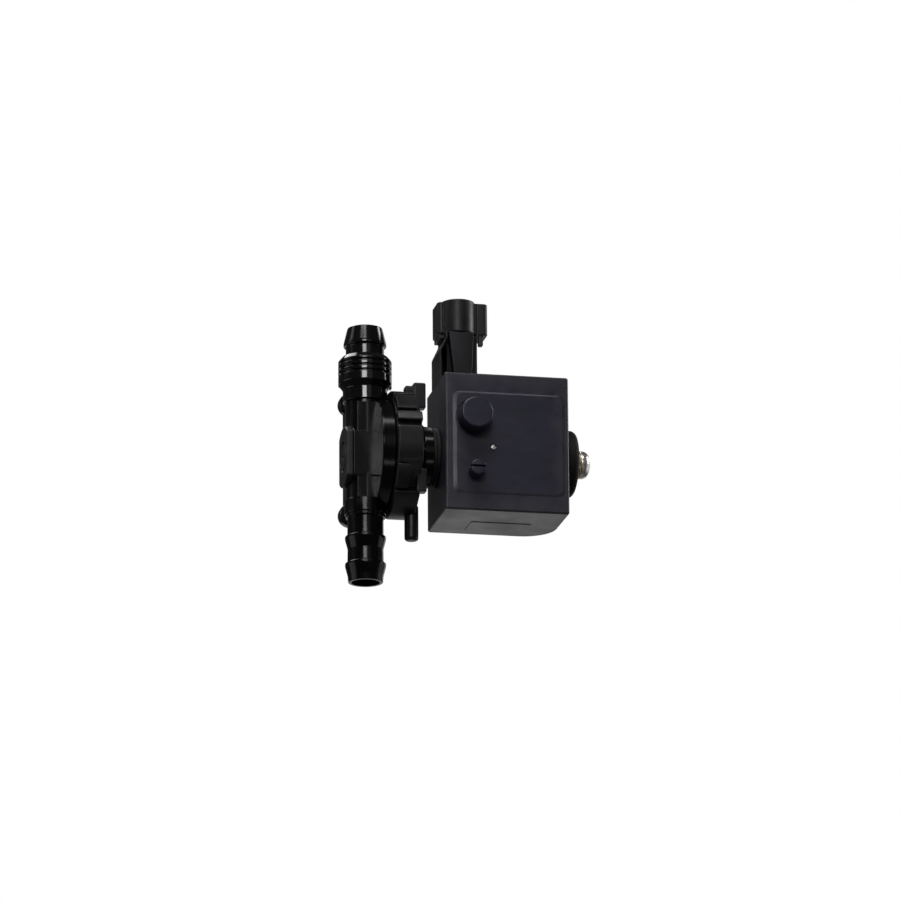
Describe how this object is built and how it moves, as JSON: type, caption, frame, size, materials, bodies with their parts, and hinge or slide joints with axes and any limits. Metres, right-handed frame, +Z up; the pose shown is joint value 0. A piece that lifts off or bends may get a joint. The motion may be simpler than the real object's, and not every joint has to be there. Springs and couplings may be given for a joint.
{
  "type": "solenoid valve",
  "caption": "In-line coolant solenoid valve: plastic body with barbed hose nozzles above and below, lobed clamp ring, and a boxy coil head with an electrical socket.",
  "frame": {"origin": "centre of the outlet nozzle's mouth, on the hose line", "axes": "+X along the solenoid's axis towards the coil head, +Y to the back, where the mounting lugs are, +Z up the hose line from outlet to inlet"},
  "size_m": [0.1076, 0.0559, 0.1237],
  "materials": {
    "body_plastic": "black glass-filled nylon, satin",
    "cap_plastic": "black moulded nylon, satin",
    "bonnet_plastic": "black moulded nylon, satin",
    "ring_plastic": "black moulded nylon, satin",
    "seal_rubber": "black rubber",
    "tube_steel": "drawn stainless steel",
    "core_steel": "turned magnetic stainless steel",
    "poppet_brass": "turned brass",
    "spring_steel": "bright spring wire",
    "bobbin_plastic": "natural glass-filled nylon",
    "winding_copper": "enamelled copper wire",
    "yoke_steel": "zinc-plated pressed steel",
    "housing_plastic": "dark blue-black moulded resin, satin gloss",
    "connector_plastic": "black moulded nylon, satin",
    "blade_tin": "tin-plated brass",
    "pin_steel": "bright steel",
    "disc_rubber": "hard black rubber",
    "washer_brass": "yellow-passivated steel",
    "nut_steel": "bright plated steel"
  },
  "bodies": {
    "valve": {"valve_body": "body_plastic", "inlet_nozzle": "body_plastic", "inlet_o_ring": "seal_rubber", "inlet_collar": "body_plastic", "rear_cap": "cap_plastic", "rear_cap_seal": "seal_rubber", "bonnet_gasket": "seal_rubber", "bonnet_cover": "bonnet_plastic", "bonnet_ring": "ring_plastic", "neck_seal": "seal_rubber", "guide_tube": "tube_steel", "tube_o_ring": "seal_rubber", "fixed_core": "core_steel", "return_spring": "spring_steel", "end_disc": "disc_rubber", "end_washer": "washer_brass", "dome_nut": "nut_steel"},
    "plunger": {"plunger": "core_steel", "stem": "tube_steel", "poppet": "poppet_brass", "seat_seal": "seal_rubber"},
    "coil_head": {"coil_housing": "housing_plastic", "coil_bobbin": "bobbin_plastic", "coil_winding": "winding_copper", "yoke_frame": "yoke_steel", "connector_tower": "connector_plastic", "connector_shell": "connector_plastic", "terminal_blades": "blade_tin", "coil_leads": "winding_copper", "connector_seal": "seal_rubber", "round_post": "housing_plastic", "slotted_plug": "housing_plastic", "index_pin": "pin_steel"}
  },
  "joints": [
    {"name": "plunger_slide", "type": "slide", "parent": "valve", "child": "plunger", "axis": [1, 0, 0], "range_m": [0, 0.0025], "stiffness_N_per_m": 1500, "springref_m": -0.004, "deforming": ["return_spring"]},
    {"name": "coil_swivel", "type": "hinge", "parent": "valve", "child": "coil_head", "pos_m": [0.055, 0, 0.0556], "axis": [1, 0, 0], "continuous": true}
  ]
}
